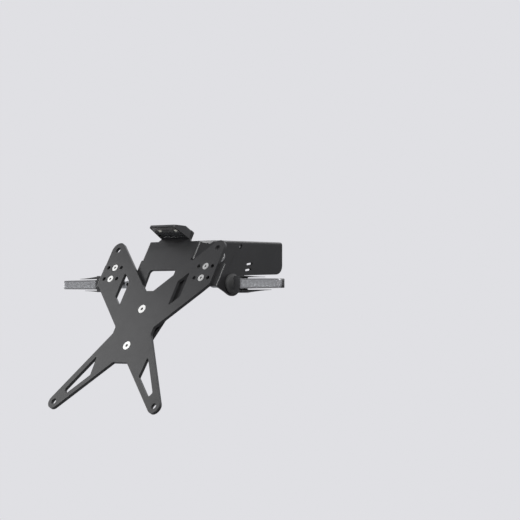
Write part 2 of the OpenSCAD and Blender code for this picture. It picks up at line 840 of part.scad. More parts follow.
module lamp_housing() {
    stud = screw_l(sheet_t + washer_t, lamp_stud_d);
    color(black_plastic) on_plate() {
        difference() {
            lamp_form(0);
            intersection() {
                lamp_form(lamp_wall);
                translate([-lamp_w, lamp_low - through, inner_front])
                    cube([2 * lamp_w, lamp_h + 2 * through, lamp_l]);
            }
        }
        lamp_stud_places() translate([0, 0, -face_front - stud])
            cylinder(d = lamp_stud_d, h = stud + stud_root / 2);
    }
}

// Room inside the housing from the lens's outer face up to the given height
module lamp_room(edge, height) {
    intersection() {
        lamp_form(lamp_wall + edge);
        translate([-lamp_w, lamp_low, inner_front + edge]) cube([2 * lamp_w, height, lamp_l]);
    }
}

// Lens of the lamp, a plate that closes the underside, with a rim that the board lies on
module lamp_lens() {
    color(smoked_lens) on_plate() difference() {
        lamp_room(lens_gap, lens_t + board_rise);
        translate([0, lens_t, 0]) lamp_room(lens_wall, board_rise + through);
    }
}

module lamp_board() {
    half = lamp_w / 2 - lamp_wall - board_edge;
    low = lamp_low + lens_t + board_rise;
    color(board_green) on_plate() translate([-half, low, inner_front + 4 * lens_gap])
        cube([2 * half, board_t, lamp_chip_depth + chip_w / 2]);
}

module lamp_leds() {
    low = lamp_low + lens_t + board_rise - chip_h;
    pitch = lamp_chip_span / (lamp_chips - 1);
    color(chip_yellow) on_plate() for (i = [0:lamp_chips - 1])
        translate([(pitch * i - lamp_chip_span / 2) - chip_w / 2, low, inner_front + lamp_chip_depth - chip_w / 2])
            cube([chip_w, chip_h, chip_w]);
}

module lamp_washers() {
    color(zinc) on_plate() lamp_stud_places() translate([0, 0, -face_back - washer_t])
        washer(lamp_stud_d, washer_t);
}

module lamp_nuts() {
    depth = face_back + washer_t + nut_h(lamp_stud_d);
    color(zinc) on_plate() lamp_stud_places() translate([0, 0, -depth]) nut(lamp_stud_d);
}

// Indicators: drawn with X outwards from the bracket's outer face, Y forward, Z up

module at_right() {
    translate([angle_x, stem_y, stem_z]) children();
}

// The left indicator is the same part, turned over
module at_left() {
    translate([-angle_x, stem_y, stem_z]) rotate([0, 180, 0]) children();
}

module foot_solid() {
    bore_r = stem_d / 2 + thread_gap;
    foot_r = foot_d / 2;
    neck = 0.36 * foot_d;
    rim = 0.3 * foot_l;
    waist = [for (a = [0:15:75])
        [neck + (foot_r - neck) * (1 - sin(a)), rim + (foot_l - rim) * (1 - cos(a))]];
    color(black_rubber) rotate([0, 90, 0]) rotate_extrude() polygon(concat(
        [[bore_r, 0], [foot_r - rim / 3, 0], [foot_r, rim / 3]],
        waist,
        [[neck, foot_l], [bore_r, foot_l]]));
}

// The indicator's bar, made smaller all round by inset, between two depths
module bar_form(inset, rear, front) {
    start = foot_l + inset;
    end = bar_end - inset;
    tall = bar_h / 2 - inset;
    low = bar_end_h / 2 - inset;
    end_r = bar_end_r - inset;
    intersection() {
        translate([0, 0, -bar_h]) linear_extrude(height = 2 * bar_h) polygon(rounded([
            [start, bar_rear + inset, 0],
            [end, bar_rear + inset, end_r],
            [end, bar_front - inset, 2 * bar_end_r],
            [start, bar_front - inset, 0]]));
        translate([0, front, 0]) rotate([90, 0, 0]) linear_extrude(height = front - rear) polygon(rounded([
            [start, -tall, 0],
            [end, -low, end_r],
            [end, low, end_r],
            [start, tall, 0]]));
    }
}

// Upright outline of the fins and their root: x outwards, y up
module fin_outline() {
    near = bar_h / 2 + fin_gap;
    high = near + short_fin_t;
    low = near + long_fin_t;
    high_end = foot_l + short_fin_l;
    low_end = foot_l + long_fin_l;
    tip = fin_gap / 3;
    start = foot_l + collar_l;
    polygon(concat(
        [[foot_l, high - tip], [foot_l + tip, high]],
        fin_edge(high_end, near + tip, high),
        [[high_end, near], [start + fin_gap, near], [start, near - fin_gap],
         [start, fin_gap - near], [start + fin_gap, -near], [low_end, -near]],
        backwards(fin_edge(low_end, -near - tip, -low)),
        [[foot_l + tip, -low], [foot_l, tip - low]]));
}

// Outer edge of one fin from the block to its tip, steepest at the block
function fin_edge(end, tip_z, block_z) =
    [for (i = [0:fin_steps]) let (t = i / fin_steps, start = foot_l + collar_l)
        [start + (end - start) * t, tip_z + (block_z - tip_z) * pow(1 - t, 1.5)]];
function backwards(points) = [for (i = [len(points) - 1:-1:0]) points[i]];

// The fins and their root seen from above: x outwards, y forward
module fin_plan() {
    rear = bar_rear + lens_gap;
    start = foot_l + collar_l;
    polygon(rounded([
        [foot_l, rear, 0],
        [start, rear, bar_wall],
        [start, split_y - bar_wall, 0],
        [start + board_edge, split_y, 0],
        [foot_l + long_fin_l, split_y + 2 * bar_wall, 0],
        [foot_l + long_fin_l, bar_front - bar_wall, 0],
        [start, bar_front, 0],
        [foot_l, bar_front, 0]]));
}

module housing_solid() {
    color(black_plastic) difference() {
        union() {
            bar_form(0, split_y, bar_front);
            before_lens() bar_form(0, bar_rear - through, bar_front);
            intersection() {
                translate([0, bar_front, 0]) rotate([90, 0, 0])
                    linear_extrude(height = bar_depth) fin_outline();
                translate([0, 0, -foot_d]) linear_extrude(height = 2 * foot_d) fin_plan();
            }
        }
        beyond_root(root_end + bar_wall) bar_form(bar_wall, split_y - through, bar_front);
        translate([foot_l - through, 0, 0]) rotate([0, 90, 0])
            cylinder(d = stem_d + 2 * thread_gap, h = root_l);
    }
}

// Keeps the root's part of the bar
module before_lens() {
    intersection() {
        children();
        translate([foot_l, -bar_depth, -bar_h]) cube([root_l, 2 * bar_depth, 2 * bar_h]);
    }
}

// Keeps what lies further out than x
module beyond_root(x) {
    intersection() {
        children();
        translate([x, -bar_depth, -bar_h]) cube([bar_end, 2 * bar_depth, 2 * bar_h]);
    }
}

module lens_solid() {
    color(clear_lens) difference() {
        beyond_root(root_end) bar_form(0, bar_rear - through, split_y);
        beyond_root(root_end + bar_wall) bar_form(bar_wall, bar_rear - through, split_y + through);
    }
}

module board_solid() {
    half = bar_end_h / 2 - bar_wall - 4 * lens_gap;
    color(board_green) translate([board_from, board_y, -half])
        cube([board_to - board_from, board_t, 2 * half]);
}

module led_solids() {
    color(chip_yellow) for (i = [0:bar_chips - 1])
        translate([board_from + (i + 0.5) * bar_pitch - chip_w / 2, board_y - chip_h, -chip_w / 2])
            cube([chip_w, chip_h, chip_w]);
}

// Hollow threaded stem from the inside of the housing's root through the bracket
module stem_solid() {
    long = angle_t + stem_l + root_end - through;
    color(zinc) translate([-angle_t - stem_l, 0, 0]) rotate([0, 90, 0]) difference() {
        cylinder(d = stem_d, h = long);
        translate([0, 0, -through]) cylinder(d = stem_d / 2, h = long + 2 * through);
    }
}

module stem_washer() {
    color(zinc) translate([-angle_t - stem_washer_t, 0, 0]) rotate([0, 90, 0]) washer(stem_d, stem_washer_t);
}

module stem_nut() {
    color(zinc) translate([-angle_t - stem_washer_t - nut_h(stem_d), 0, 0]) rotate([0, 90, 0]) nut(stem_d);
}

module right_indicator_foot() {
    at_right() foot_solid();
}

module right_indicator_stem() {
    at_right() stem_solid();
}

module right_indicator_housing() {
    at_right() housing_solid();
}

module right_indicator_lens() {
    at_right() lens_solid();
}

module right_indicator_board() {
    at_right() board_solid();
}

module right_indicator_leds() {
    at_right() led_solids();
}

module right_indicator_washer() {
    at_right() stem_washer();
}

module right_indicator_nut() {
    at_right() stem_nut();
}

module left_indicator_foot() {
    at_left() foot_solid();
}

module left_indicator_stem() {
    at_left() stem_solid();
}

module left_indicator_housing() {
    at_left() housing_solid();
}

module left_indicator_lens() {
    at_left() lens_solid();
}

module left_indicator_board() {
    at_left() board_solid();
}

module left_indicator_leds() {
    at_left() led_solids();
}

module left_indicator_washer() {
    at_left() stem_washer();
}

module left_indicator_nut() {
    at_left() stem_nut();
}

plate_carrier();
main_bracket();
base_bracket();
carrier_screws();
carrier_spacers();
carrier_washers();
carrier_nuts();
left_indicator_bracket();
right_indicator_bracket();
arm_screws();
arm_washers();
arm_nuts();
strap_bolts();
strap_washers();
strap_nuts();
lamp_housing();
lamp_lens();
lamp_board();
lamp_leds();
lamp_washers();
lamp_nuts();
left_indicator_foot();
left_indicator_stem();
left_indicator_housing();
left_indicator_lens();
left_indicator_board();
left_indicator_leds();
left_indicator_washer();
left_indicator_nut();
right_indicator_foot();
right_indicator_stem();
right_indicator_housing();
right_indicator_lens();
right_indicator_board();
right_indicator_leds();
right_indicator_washer();
right_indicator_nut();
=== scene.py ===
import bpy
import math
from mathutils import Matrix, Vector


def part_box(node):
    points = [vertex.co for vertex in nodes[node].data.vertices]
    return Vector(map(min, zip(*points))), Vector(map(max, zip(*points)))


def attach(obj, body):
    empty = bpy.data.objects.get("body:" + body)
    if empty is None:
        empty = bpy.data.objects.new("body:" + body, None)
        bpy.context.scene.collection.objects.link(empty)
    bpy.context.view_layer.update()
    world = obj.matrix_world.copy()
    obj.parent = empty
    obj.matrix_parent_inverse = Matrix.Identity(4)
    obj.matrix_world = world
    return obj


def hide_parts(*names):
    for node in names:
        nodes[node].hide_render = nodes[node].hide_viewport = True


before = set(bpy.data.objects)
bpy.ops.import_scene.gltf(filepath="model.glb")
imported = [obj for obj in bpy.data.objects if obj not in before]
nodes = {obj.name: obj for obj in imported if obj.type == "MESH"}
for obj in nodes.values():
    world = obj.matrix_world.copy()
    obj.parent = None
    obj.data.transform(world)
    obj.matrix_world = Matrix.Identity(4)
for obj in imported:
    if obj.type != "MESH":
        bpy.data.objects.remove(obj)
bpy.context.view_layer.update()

mm = 0.001
scene = bpy.context.scene


# selection and mesh helpers

def deselectAll():
    if bpy.context.mode != "OBJECT":
        bpy.ops.object.mode_set(mode="OBJECT")
    bpy.ops.object.select_all(action="DESELECT")


def activate(piece):
    deselectAll()
    piece.select_set(True)
    bpy.context.view_layer.objects.active = piece


def editAll(piece):
    activate(piece)
    bpy.ops.object.mode_set(mode="EDIT")
    bpy.ops.mesh.select_all(action="SELECT")


def leaveEdit():
    bpy.ops.object.mode_set(mode="OBJECT")


def addModifier(piece, kind, **values):
    activate(piece)
    modifier = piece.modifiers.new(kind.lower(), kind)
    for key, value in values.items():
        setattr(modifier, key, value)
    bpy.ops.object.modifier_apply(modifier=modifier.name)


def bakePlace(piece):
    activate(piece)
    bpy.ops.object.transform_apply(location=True, rotation=True, scale=True)


def finishPiece(piece, name, material, smoothTo):
    # last steps of every piece; faces that meet at up to smoothTo degrees are shaded as one
    piece.name = name
    piece.data.name = name
    bakePlace(piece)
    bpy.ops.object.shade_smooth_by_angle(angle=math.radians(smoothTo))
    addModifier(piece, "WEIGHTED_NORMAL", keep_sharp=True, weight=60)
    piece.data.materials.clear()
    piece.data.materials.append(material)
    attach(piece, "root")


def joinPieces(pieces):
    deselectAll()
    for piece in pieces:
        piece.select_set(True)
    bpy.context.view_layer.objects.active = pieces[0]
    bpy.ops.object.join()
    return bpy.context.view_layer.objects.active


# lengths in mm, angles in degrees
dressing = {"mergeWithin": 0.002, "flatWithin": 0.3, "sharpFrom": 28, "smoothTo": 40}


def mergedCopy(nodeName):
    # a node's triangles joined into clean faces, on a copy
    source = nodes[nodeName]
    piece = source.copy()
    piece.data = source.data.copy()
    piece.parent = None
    piece.matrix_world = source.matrix_world
    scene.collection.objects.link(piece)
    activate(piece)
    if piece.data.has_custom_normals:
        bpy.ops.mesh.customdata_custom_splitnormals_clear()
    editAll(piece)
    bpy.ops.mesh.remove_doubles(threshold=dressing["mergeWithin"] * mm)
    bpy.ops.mesh.dissolve_limited(angle_limit=math.radians(dressing["flatWithin"]))
    bpy.ops.mesh.normals_make_consistent(inside=False)
    leaveEdit()
    return piece


def dressNode(nodeName, material, edge, segments=2):
    # the CAD node with its sharp edges broken, as sheet and moulded edges are
    piece = mergedCopy(nodeName)
    addModifier(piece, "BEVEL", width=edge * mm, segments=segments, limit_method="ANGLE",
                angle_limit=math.radians(dressing["sharpFrom"]), use_clamp_overlap=True,
                harden_normals=False)
    finishPiece(piece, nodeName + "_dressed", material, dressing["smoothTo"])
    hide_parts(nodeName)


# material helpers; the owner of a node is a material or the world

def opaque(color):
    return (*color, 1)


def shaded(color, share):
    return [channel * share for channel in color]


def setInputs(node, values):
    for socket, value in values.items():
        node.inputs[socket].default_value = value


def addNode(owner, kind, values={}):
    node = owner.node_tree.nodes.new(kind)
    setInputs(node, values)
    return node


def wire(owner, fromSocket, toSocket):
    owner.node_tree.links.new(fromSocket, toSocket)


def newMaterial(name, color, roughness, values={}):
    material = bpy.data.materials.new(name)
    material.use_nodes = True
    shader = material.node_tree.nodes["Principled BSDF"]
    setInputs(shader, {"Base Color": opaque(color), "Roughness": roughness, **values})
    return material, shader


def objectPoint(material, scale=(1, 1, 1)):
    coordinates = addNode(material, "ShaderNodeTexCoord")
    mapping = addNode(material, "ShaderNodeMapping", {"Scale": scale})
    wire(material, coordinates.outputs["Object"], mapping.inputs["Vector"])
    return mapping.outputs["Vector"]


def noise(material, point, scale, detail, rough=0.5):
    node = addNode(material, "ShaderNodeTexNoise", {
        "Scale": scale, "Detail": detail, "Roughness": rough})
    wire(material, point, node.inputs["Vector"])
    return node.outputs["Fac"]


def mapRange(material, factor, toRange, fromRange=(0.0, 1.0)):
    node = addNode(material, "ShaderNodeMapRange", {
        "From Min": fromRange[0], "From Max": fromRange[1],
        "To Min": toRange[0], "To Max": toRange[1]})
    wire(material, factor, node.inputs["Value"])
    return node.outputs["Result"]


def bump(material, height, relief, under=None):
    # relief is a strength and a height in metres
    node = addNode(material, "ShaderNodeBump", {"Strength": relief[0], "Distance": relief[1]})
    wire(material, height, node.inputs["Height"])
    if under is not None:
        wire(material, under, node.inputs["Normal"])
    return node.outputs["Normal"]


def tint(material, shader, factor, colors, stops=(0.3, 0.7)):
    # from the first colour to the second as the factor passes the stops
    node = addNode(material, "ShaderNodeValToRGB")
    for element, color, stop in zip(node.color_ramp.elements, colors, stops):
        element.position = stop
        element.color = opaque(color)
    wire(material, factor, node.inputs["Fac"])
    wire(material, node.outputs["Color"], shader.inputs["Base Color"])


def roughen(material, shader, factor, gloss):
    wire(material, mapRange(material, factor, gloss), shader.inputs["Roughness"])


def emboss(material, shader, relief):
    wire(material, relief, shader.inputs["Normal"])


def mathNode(owner, operation, first, second):
    node = addNode(owner, "ShaderNodeMath")
    node.operation = operation
    wire(owner, first, node.inputs[0])
    wire(owner, second, node.inputs[1])
    return node.outputs[0]


def mixShaders(owner, factor, first, second):
    # shows the first shader where the factor is 0 and the second where it is 1
    node = addNode(owner, "ShaderNodeMixShader")
    for place, socket in enumerate((factor, first.outputs[0], second.outputs[0])):
        wire(owner, socket, node.inputs[place])
    return node.outputs[0]


def showSurface(material, socket):
    wire(material, socket, material.node_tree.nodes["Material Output"].inputs["Surface"])


# finishes; pattern scales are per metre

coatLook = {"color": (0.026, 0.026, 0.027), "shades": (0.9, 1.1), "shadeScale": 38,
            "gloss": (0.3, 0.4), "glossScale": 160, "specular": 0.28,
            "peelScale": 900, "peel": (0.16, 0.00012), "grainScale": 4200, "grain": (0.12, 0.00005)}


def makeCoat(name, look):
    # satin powder coat: fine orange peel and a faint change of gloss
    color = look["color"]
    material, shader = newMaterial(name, color, look["gloss"][1], {
        "Specular IOR Level": look["specular"]})
    point = objectPoint(material)
    tint(material, shader, noise(material, point, look["shadeScale"], 2),
         [shaded(color, shade) for shade in look["shades"]])
    roughen(material, shader, noise(material, point, look["glossScale"], 4), look["gloss"])
    peel = bump(material, noise(material, point, look["peelScale"], 2), look["peel"])
    grain = bump(material, noise(material, point, look["grainScale"], 2), look["grain"], peel)
    emboss(material, shader, grain)
    return material


steelLook = {"darker": 0.86, "stops": (0.25, 0.75), "shadeScale": 260, "glossSpread": (-0.07, 0.08),
             "brush": (40, 900, 900), "brushScale": 3, "lines": (0.1, 0.00004)}


def makeSteel(name, color, rough):
    # turned and brushed metal: lines along X, cloudy gloss
    material, shader = newMaterial(name, color, rough, {"Metallic": 1.0})
    cloud = noise(material, objectPoint(material), steelLook["shadeScale"], 3)
    tint(material, shader, cloud, (shaded(color, steelLook["darker"]), color), steelLook["stops"])
    roughen(material, shader, cloud, [rough + spread for spread in steelLook["glossSpread"]])
    brushed = objectPoint(material, steelLook["brush"])
    lines = noise(material, brushed, steelLook["brushScale"], 3, 0.6)
    emboss(material, shader, bump(material, lines, steelLook["lines"]))
    return material


plasticLook = {"color": (0.026, 0.026, 0.027), "shades": (0.85, 1.15), "shadeScale": 120,
               "rough": 0.45, "gloss": (0.4, 0.51), "grainSize": 0.5, "grain": (0.25, 0.00006)}


def makePlastic(name, look):
    # moulded plastic with a spark-eroded grain
    color = look["color"]
    material, shader = newMaterial(name, color, look["rough"])
    point = objectPoint(material)
    cloud = noise(material, point, look["shadeScale"], 3)
    tint(material, shader, cloud, [shaded(color, shade) for shade in look["shades"]])
    roughen(material, shader, cloud, look["gloss"])
    cells = addNode(material, "ShaderNodeTexVoronoi", {"Scale": 1 / (look["grainSize"] * mm)})
    wire(material, point, cells.inputs["Vector"])
    emboss(material, shader, bump(material, cells.outputs["Distance"], look["grain"]))
    return material


rubberLook = {"color": (0.028, 0.028, 0.028), "dusty": 1.7, "stops": (0.35, 0.8), "dustScale": 210,
              "rough": 0.7, "gloss": (0.62, 0.8), "sheen": 0.08,
              "grainScale": 2600, "grain": (0.3, 0.00006)}


def makeRubber(name, look):
    # matt rubber with a little dust in its grain
    color = look["color"]
    material, shader = newMaterial(name, color, look["rough"], {"Sheen Weight": look["sheen"]})
    point = objectPoint(material)
    dust = noise(material, point, look["dustScale"], 5, 0.6)
    tint(material, shader, dust, (color, shaded(color, look["dusty"])), look["stops"])
    roughen(material, shader, dust, look["gloss"])
    grain = bump(material, noise(material, point, look["grainScale"], 3), look["grain"])
    emboss(material, shader, grain)
    return material


lensLook = {"index": 1.47, "darker": 0.95, "rough": 0.06, "gloss": (0.14, 0.22), "glossScale": 300,
            "waveScale": 90, "waves": (0.04, 0.0002)}
clearLook = {"color": (0.53, 0.53, 0.55), "clearness": 0.57, "shadow": (0.85, 0.87, 0.87)}
# the smoked lens's paler, less clear colour towards the lip is painted light
smokedLook = {"color": (0.4, 0.41, 0.42), "clearness": 0.96, "shadow": (0.55, 0.56, 0.56),
              "paintedLightColor": (0.5, 0.48, 0.46), "paintedLightClearness": 0.51, "lipFrom": -88.0, "lipTo": -99.0}


def makeLens(name, look):
    # moulded lens that is a little milky and lets lamp light through to what is behind it
    color = look["color"]
    material, shader = newMaterial(name, color, lensLook["rough"], {
        "Transmission Weight": look["clearness"], "IOR": lensLook["index"]})
    point = objectPoint(material)
    cloud = noise(material, point, lensLook["glossScale"], 2)
    if "paintedLightColor" in look:
        # painted light: paler and less clear towards the lamp's rear lip, standing in for light
        # that falls on the underside there
        place = addNode(material, "ShaderNodeSeparateXYZ")
        wire(material, point, place.inputs[0])
        lip = (look["lipFrom"] * mm, look["lipTo"] * mm)
        across = mapRange(material, place.outputs["Y"], (0.0, 1.0), lip)
        tint(material, shader, across, (color, look["paintedLightColor"]), (0.0, 1.0))
        paintedLightClearing = mapRange(material, across, (look["clearness"], look["paintedLightClearness"]))
        wire(material, paintedLightClearing, shader.inputs["Transmission Weight"])
    else:
        tint(material, shader, cloud, (shaded(color, lensLook["darker"]), color))
    roughen(material, shader, cloud, lensLook["gloss"])
    waves = bump(material, noise(material, point, lensLook["waveScale"], 1), lensLook["waves"])
    emboss(material, shader, waves)
    rays = addNode(material, "ShaderNodeLightPath")
    clear = addNode(material, "ShaderNodeBsdfTransparent", {"Color": opaque(look["shadow"])})
    showSurface(material, mixShaders(material, rays.outputs["Is Shadow Ray"], shader, clear))
    return material


silverLook = {"color": (0.88, 0.9, 0.88), "metallic": 0.1, "darker": 0.92, "shadeScale": 500,
              "rough": 0.4, "gloss": (0.36, 0.5), "rippleScale": 400, "ripple": (0.06, 0.00003)}


def makeReflector(name, look):
    # vacuum-plated plastic: bright, a little milky
    color = look["color"]
    material, shader = newMaterial(name, color, look["rough"], {"Metallic": look["metallic"]})
    point = objectPoint(material)
    cloud = noise(material, point, look["shadeScale"], 2)
    tint(material, shader, cloud, (shaded(color, look["darker"]), color))
    roughen(material, shader, cloud, look["gloss"])
    ripple = bump(material, noise(material, point, look["rippleScale"], 2), look["ripple"])
    emboss(material, shader, ripple)
    return material


boardLook = {"color": (0.46, 0.47, 0.48), "otherTrack": 0.92, "betweenTracks": 0.75,
             "trackScale": 180, "trackGap": 0.03,
             "rough": 0.4, "gloss": (0.32, 0.48), "glossScale": 400}


def makeBoard(name, look):
    # solder mask with faint tracks
    color = look["color"]
    material, shader = newMaterial(name, color, look["rough"])
    point = objectPoint(material)
    tracks = addNode(material, "ShaderNodeTexBrick", {
        "Scale": look["trackScale"], "Mortar Size": look["trackGap"], "Color1": opaque(color),
        "Color2": opaque(shaded(color, look["otherTrack"])),
        "Mortar": opaque(shaded(color, look["betweenTracks"]))})
    wire(material, point, tracks.inputs["Vector"])
    wire(material, tracks.outputs["Color"], shader.inputs["Base Color"])
    roughen(material, shader, noise(material, point, look["glossScale"], 2), look["gloss"])
    return material


chipLook = {"darker": 0.9, "shadeScale": 900, "rough": 0.2, "clearCoat": 0.5}


def makeChip(name, color, paintedGlow):
    # light chip under a clear blob, with a faint painted glow that stands in for light on the chip
    material, shader = newMaterial(name, color, chipLook["rough"], {
        "Coat Weight": chipLook["clearCoat"],
        "Emission Color": opaque(color), "Emission Strength": paintedGlow})
    cloud = noise(material, objectPoint(material), chipLook["shadeScale"], 2)
    tint(material, shader, cloud, (shaded(color, chipLook["darker"]), color))
    return material


coat = makeCoat("satinPowderCoat", coatLook)
stainless = makeSteel("stainless", (0.49, 0.49, 0.48), 0.36)
zinc = makeSteel("zincPlate", (0.5, 0.51, 0.52), 0.34)
blackPlastic = makePlastic("blackPlastic", plasticLook)
rubber = makeRubber("softRubber", rubberLook)
clearLens = makeLens("clearLens", clearLook)
smokedLens = makeLens("smokedLens", smokedLook)
board = makeBoard("lightBoard", boardLook)
# the last value of each chip is its painted glow
chip = makeChip("lightChip", (0.9, 0.88, 0.72), 0.3)
lampChip = makeChip("lampChip", (0.92, 0.92, 0.84), 1.6)
silver = makeReflector("reflectorSilver", silverLook)
print("finishes made")


# sheet metal, fasteners and mouldings: CAD forms with broken edges, in mm

sheetMetal = {"edge": 0.28, "nodes": (
    "plate_carrier", "main_bracket", "base_bracket",
    "left_indicator_bracket", "right_indicator_bracket")}
for nodeName in sheetMetal["nodes"]:
    dressNode(nodeName, coat, sheetMetal["edge"])
print("sheet metal dressed")

screws = {"edge": 0.15, "nodes": ("carrier_screws", "arm_screws", "strap_bolts")}
for nodeName in screws["nodes"]:
    dressNode(nodeName, stainless, screws["edge"])

nuts = {"edge": 0.2, "nodes": (
    "carrier_nuts", "arm_nuts", "strap_nuts", "lamp_nuts",
    "left_indicator_nut", "right_indicator_nut")}
washers = {"edge": 0.15, "nodes": (
    "carrier_spacers", "carrier_washers", "arm_washers", "strap_washers", "lamp_washers",
    "left_indicator_washer", "right_indicator_washer")}
for kind in (nuts, washers):
    for nodeName in kind["nodes"]:
        dressNode(nodeName, zinc, kind["edge"])
print("fasteners dressed")

indicator = {"footEdge": 0.4, "housingEdge": 0.25, "lensEdge": 0.3, "boardEdge": 0.1,
             "chipEdge": 0.12}
for sideName in ("left", "right"):
    prefix = sideName + "_indicator_"
    stemMesh = nodes[prefix + "stem"].data
    stemMesh.materials.clear()
    stemMesh.materials.append(zinc)
    dressNode(prefix + "foot", rubber, indicator["footEdge"], 3)
    dressNode(prefix + "housing", blackPlastic, indicator["housingEdge"])
    dressNode(prefix + "lens", clearLens, indicator["lensEdge"], 3)
    dressNode(prefix + "board", board, indicator["boardEdge"])
    dressNode(prefix + "leds", chip, indicator["chipEdge"])
print("indicators dressed")

plateLamp = {"housingEdge": 0.3, "lensEdge": 0.2, "boardEdge": 0.1, "chipEdge": 0.12}
dressNode("lamp_housing", blackPlastic, plateLamp["housingEdge"], 3)
dressNode("lamp_lens", smokedLens, plateLamp["lensEdge"])
dressNode("lamp_board", board, plateLamp["boardEdge"])
dressNode("lamp_leds", lampChip, plateLamp["chipEdge"])
print("lamp dressed")


# places in the frame

plate = {"y": -139.167, "z": -90.228, "tilt": 30.0}


def onPlate(x, up, depth):
    tilt = math.radians(plate["tilt"])
    return Vector((x, plate["y"] + up * math.sin(tilt) + depth * math.cos(tilt),
                   plate["z"] + up * math.cos(tilt) - depth * math.sin(tilt))) * mm


depthWay = onPlate(0, 0, 1) - onPlate(0, 0, 0)


def stemMiddle(sideName):
    low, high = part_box(sideName + "_indicator_stem")
    return (Vector(low) + Vector(high)) / 2


# threads that stand out of the nuts, in mm; radius, sunk and start of the ridge are in pitches

ridge = {"radius": 0.36, "sunk": 0.12, "start": 0.5, "steps": 20, "smoothTo": 50,
         "mergeWithin": 0.0005}
threads = {
    "carrier": {"radius": 2.5, "pitch": 0.8, "from": 14.2, "length": 1.5,
                "across": (0,), "up": (19.5, -24.5)},
    "arm": {"radius": 2.0, "pitch": 0.7, "from": 9.5, "length": 1.5,
            "across": (-68.2, 68.2), "up": (56.8, 70.8)},
    "lamp": {"radius": 2.0, "pitch": 0.7, "from": 13.4, "length": 1.5,
             "across": (-10, 10), "up": (114.512,)},
    "strap": {"radius": 3.0, "pitch": 1.0, "from": 26.6, "length": 1.5,
              "bolts": ((-51.1, -17.2), (-66.0, -15.5))},
    "stem": {"radius": 4.0, "pitch": 1.25, "from": 81.0, "length": 16.6},
}


def threadRidge(kind, start, way):
    radius, pitch = threads[kind]["radius"] * mm, threads[kind]["pitch"] * mm
    turns = max(1, round(threads[kind]["length"] / threads[kind]["pitch"]) - 1)
    deselectAll()
    bpy.ops.mesh.primitive_circle_add(
        vertices=4, radius=ridge["radius"] * pitch, fill_type="NOTHING",
        location=(radius - ridge["sunk"] * pitch, 0, ridge["start"] * pitch),
        rotation=(math.pi / 2, 0, 0))
    piece = bpy.context.view_layer.objects.active
    bakePlace(piece)
    addModifier(piece, "SCREW", angle=2 * math.pi, screw_offset=pitch, iterations=turns, axis="Z",
                steps=ridge["steps"], render_steps=ridge["steps"], use_normal_calculate=True)
    editAll(piece)
    bpy.ops.mesh.remove_doubles(threshold=ridge["mergeWithin"] * mm)
    bpy.ops.mesh.select_all(action="DESELECT")
    bpy.ops.mesh.select_mode(type="EDGE")
    bpy.ops.mesh.select_non_manifold()
    bpy.ops.mesh.fill()
    bpy.ops.mesh.select_all(action="SELECT")
    bpy.ops.mesh.normals_make_consistent(inside=False)
    bpy.ops.mesh.select_mode(type="VERT")
    leaveEdit()
    turn = way.to_track_quat("Z", "Y").to_matrix().to_4x4()
    piece.matrix_world = Matrix.Translation(start) @ turn
    bakePlace(piece)
    return piece


def threadsAt(name, kind, places, way, material):
    ridges = [threadRidge(kind, place, way) for place in places]
    finishPiece(joinPieces(ridges), name, material, ridge["smoothTo"])


for kind, slotName, material in (
        ("carrier", "stainless", stainless), ("arm", "stainless", stainless),
        ("lamp", "zinc", zinc)):
    size = threads[kind]
    places = [onPlate(across, up, size["from"]) for across in size["across"] for up in size["up"]]
    threadsAt(kind + "_threads", kind, places, depthWay, material)
for side, sideName in ((-1, "left"), (1, "right")):
    inward = Vector((-side, 0, 0))
    boltEnd = side * threads["strap"]["from"]
    bolts = [Vector((boltEnd, y, z)) * mm for y, z in threads["strap"]["bolts"]]
    threadsAt(sideName + "_strap_threads", "strap", bolts, inward, stainless)
    middle = stemMiddle(sideName)
    stemEnd = Vector((side * threads["stem"]["from"] * mm, middle.y, middle.z))
    threadsAt(sideName + "_stem_threads", "stem", [stemEnd], inward, zinc)
print("threads made")


# bright trays in front of the indicators' light chips; each cup step is an inset and a depth

tray = {"from": 18.7, "to": 62.8, "boardFrom": 21.0, "boardTo": 62.5, "cells": 8,
        "halfHeight": 3.42, "rim": -4.1, "cup": ((0.3, 0.0), (0.25, 1.6), (0.35, 2.6), (0.45, 3.3)),
        "sheet": 0.25, "edge": 0.08, "sharpFrom": 40, "smoothTo": 30, "footX": 91.0}


def chooseEdgesAt(piece, x):
    # picks the edges whose two ends both lie at x, and stays in edit mode
    nearness = 0.01 * mm
    editAll(piece)
    bpy.ops.mesh.select_all(action="DESELECT")
    bpy.ops.mesh.select_mode(type="EDGE")
    leaveEdit()
    corners = piece.data.vertices
    for edge in piece.data.edges:
        edge.select = all(abs(corners[end].co.x - x) < nearness for end in edge.vertices)
    bpy.ops.object.mode_set(mode="EDIT")


